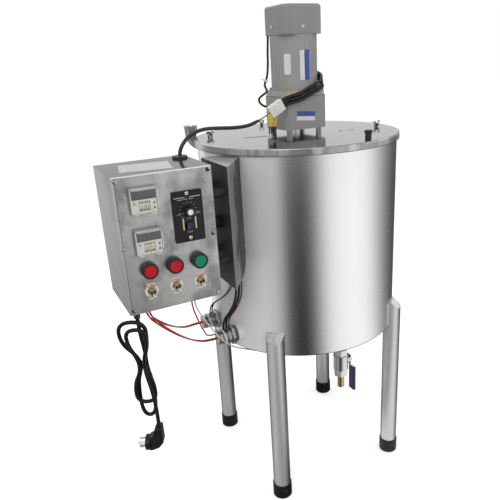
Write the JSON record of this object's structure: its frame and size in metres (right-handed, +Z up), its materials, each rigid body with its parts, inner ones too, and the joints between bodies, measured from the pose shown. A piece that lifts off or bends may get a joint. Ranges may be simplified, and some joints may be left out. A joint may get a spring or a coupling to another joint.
{
  "type": "jacketed mixing kettle",
  "caption": "Electrically heated jacketed mixing kettle on legs, with a geared stirrer motor on the lid, a side control box and a ball valve outlet.",
  "frame": {"origin": "on the floor, under the middle of the whole object without its mains cord", "axes": "+Z up, -Y to the front where the control panel faces, -X to the control box"},
  "size_m": [0.6744, 0.432, 1.0275],
  "materials": {
    "polished_steel": "polished sheet",
    "satin_steel": "satin sheet",
    "leg_steel": "brushed tube",
    "machined_steel": "machined",
    "black_rubber": "matte",
    "motor_grey": "sprayed",
    "cast_grey": "die cast",
    "fan_cover_grey": "moulded",
    "black_plastic": "moulded",
    "white_plastic": "moulded",
    "controller_grey": "moulded",
    "wheel_cream": "printed",
    "plate_black": "printed",
    "rocker_blue": "moulded",
    "lamp_red_green": "translucent",
    "toggle_chrome": "plated",
    "legend_cream": "printed",
    "valve_steel": "plated",
    "grip_blue": "dipped vinyl",
    "nipple_brass": "turned",
    "terminal_grey": "moulded",
    "wire_red": "extruded",
    "wire_mixed": "extruded",
    "cord_black": "extruded"
  },
  "bodies": {
    "frame": {"jacket_shell": "polished_steel", "inner_vessel": "polished_steel", "outlet_pipe": "machined_steel", "heaters": "machined_steel", "heater_terminals": "terminal_grey", "filler_horn": "leg_steel", "leg_front_left": "leg_steel", "leg_front_right": "leg_steel", "leg_back_left": "leg_steel", "leg_back_right": "leg_steel", "foot_front_left": "black_rubber", "foot_front_right": "black_rubber", "foot_back_left": "black_rubber", "foot_back_right": "black_rubber", "wire_duct": "satin_steel", "temperature_probes": "machined_steel", "control_box": "satin_steel", "front_panel": "satin_steel", "panel_screws": "toggle_chrome", "controller_upper": "controller_grey", "controller_lower": "controller_grey", "speed_plate": "plate_black", "lamp_bezels": "black_plastic", "lamp_lenses": "lamp_red_green", "toggle_bodies": "machined_steel", "legend_plates": "legend_cream", "cable_grommet": "black_rubber", "cord_gland": "black_plastic", "valve_body": "valve_steel", "hose_nipple": "nipple_brass", "heater_wires": "wire_red", "wire_bundle": "wire_mixed", "mains_cord": "cord_black", "plug": "black_plastic"},
    "lid_unit": {"lid": "polished_steel", "lid_knob": "black_plastic", "standoffs": "leg_steel", "gearbox": "cast_grey", "motor_housing": "motor_grey", "fan_cover": "fan_cover_grey", "motor_leads": "black_plastic", "lead_connector": "white_plastic", "motor_cable": "cord_black"},
    "wing_screw_left": {"wing_screw_left": "toggle_chrome"},
    "wing_screw_right": {"wing_screw_right": "toggle_chrome"},
    "wing_screw_back": {"wing_screw_back": "toggle_chrome"},
    "stirrer_unit": {"output_shaft": "machined_steel", "stirrer": "machined_steel"},
    "countershaft_unit": {"countershaft": "machined_steel"},
    "rotor_unit": {"motor_rotor": "machined_steel"},
    "valve_unit": {"valve_ball": "valve_steel", "valve_lever": "valve_steel", "lever_grip": "grip_blue"},
    "toggle_left": {"toggle_lever_left": "toggle_chrome"},
    "toggle_middle": {"toggle_lever_middle": "toggle_chrome"},
    "toggle_right": {"toggle_lever_right": "toggle_chrome"},
    "knob_unit": {"speed_knob": "white_plastic"},
    "rocker_unit": {"run_rocker": "rocker_blue"},
    "wheels_upper": {"thumbwheels_upper": "wheel_cream"},
    "wheels_lower": {"thumbwheels_lower": "wheel_cream"}
  },
  "joints": [
    {"name": "lid_lift", "type": "slide", "parent": "frame", "child": "lid_unit", "axis": [0, 0, 1], "range_m": [0, 0.18]},
    {"name": "wing_left_turn", "type": "hinge", "parent": "lid_unit", "child": "wing_screw_left", "pos_m": [-0.0566, 0.07734, 0.7795], "axis": [0, 0, 1], "continuous": true},
    {"name": "wing_right_turn", "type": "hinge", "parent": "lid_unit", "child": "wing_screw_right", "pos_m": [0.28601, -0.04736, 0.7795], "axis": [0, 0, 1], "continuous": true},
    {"name": "wing_back_turn", "type": "hinge", "parent": "lid_unit", "child": "wing_screw_back", "pos_m": [0.11883, 0.18275, 0.7795], "axis": [0, 0, 1], "continuous": true},
    {"name": "stirrer_spin", "type": "hinge", "parent": "lid_unit", "child": "stirrer_unit", "pos_m": [0.10925, 0, 0.8], "axis": [0, 0, 1], "continuous": true},
    {"name": "countershaft_spin", "type": "hinge", "parent": "lid_unit", "child": "countershaft_unit", "pos_m": [0.13125, 0, 0.82], "axis": [0, 0, 1], "continuous": true},
    {"name": "rotor_spin", "type": "hinge", "parent": "lid_unit", "child": "rotor_unit", "pos_m": [0.10925, 0, 0.9], "axis": [0, 0, 1], "continuous": true},
    {"name": "valve_turn", "type": "hinge", "parent": "frame", "child": "valve_unit", "pos_m": [0.10925, -0.165, 0.303], "axis": [-1, 0, 0], "range_deg": [0, 90]},
    {"name": "toggle_left_flip", "type": "hinge", "parent": "frame", "child": "toggle_left", "pos_m": [-0.28425, -0.185, 0.573], "axis": [-1, 0, 0], "range_deg": [0, 26]},
    {"name": "toggle_middle_flip", "type": "hinge", "parent": "frame", "child": "toggle_middle", "pos_m": [-0.24055, -0.185, 0.573], "axis": [-1, 0, 0], "range_deg": [0, 26]},
    {"name": "toggle_right_flip", "type": "hinge", "parent": "frame", "child": "toggle_right", "pos_m": [-0.19685, -0.185, 0.573], "axis": [-1, 0, 0], "range_deg": [0, 26]},
    {"name": "speed_turn", "type": "hinge", "parent": "frame", "child": "knob_unit", "pos_m": [-0.20725, -0.185, 0.7], "axis": [0, 1, 0], "range_deg": [0, 280]},
    {"name": "rocker_tip", "type": "hinge", "parent": "frame", "child": "rocker_unit", "pos_m": [-0.20725, -0.178, 0.6745], "axis": [0, 0, 1], "range_deg": [-14, 0]},
    {"name": "wheels_upper_turn", "type": "hinge", "parent": "frame", "child": "wheels_upper", "pos_m": [-0.27925, -0.1814, 0.7207], "axis": [1, 0, 0], "continuous": true},
    {"name": "wheels_lower_turn", "type": "hinge", "parent": "frame", "child": "wheels_lower", "pos_m": [-0.27925, -0.1814, 0.6517], "axis": [1, 0, 0], "continuous": true}
  ],
  "couplings": [
    {"joint": "countershaft_spin", "follows": "stirrer_spin", "ratio": -3.4},
    {"joint": "rotor_spin", "follows": "stirrer_spin", "ratio": 11.56}
  ]
}
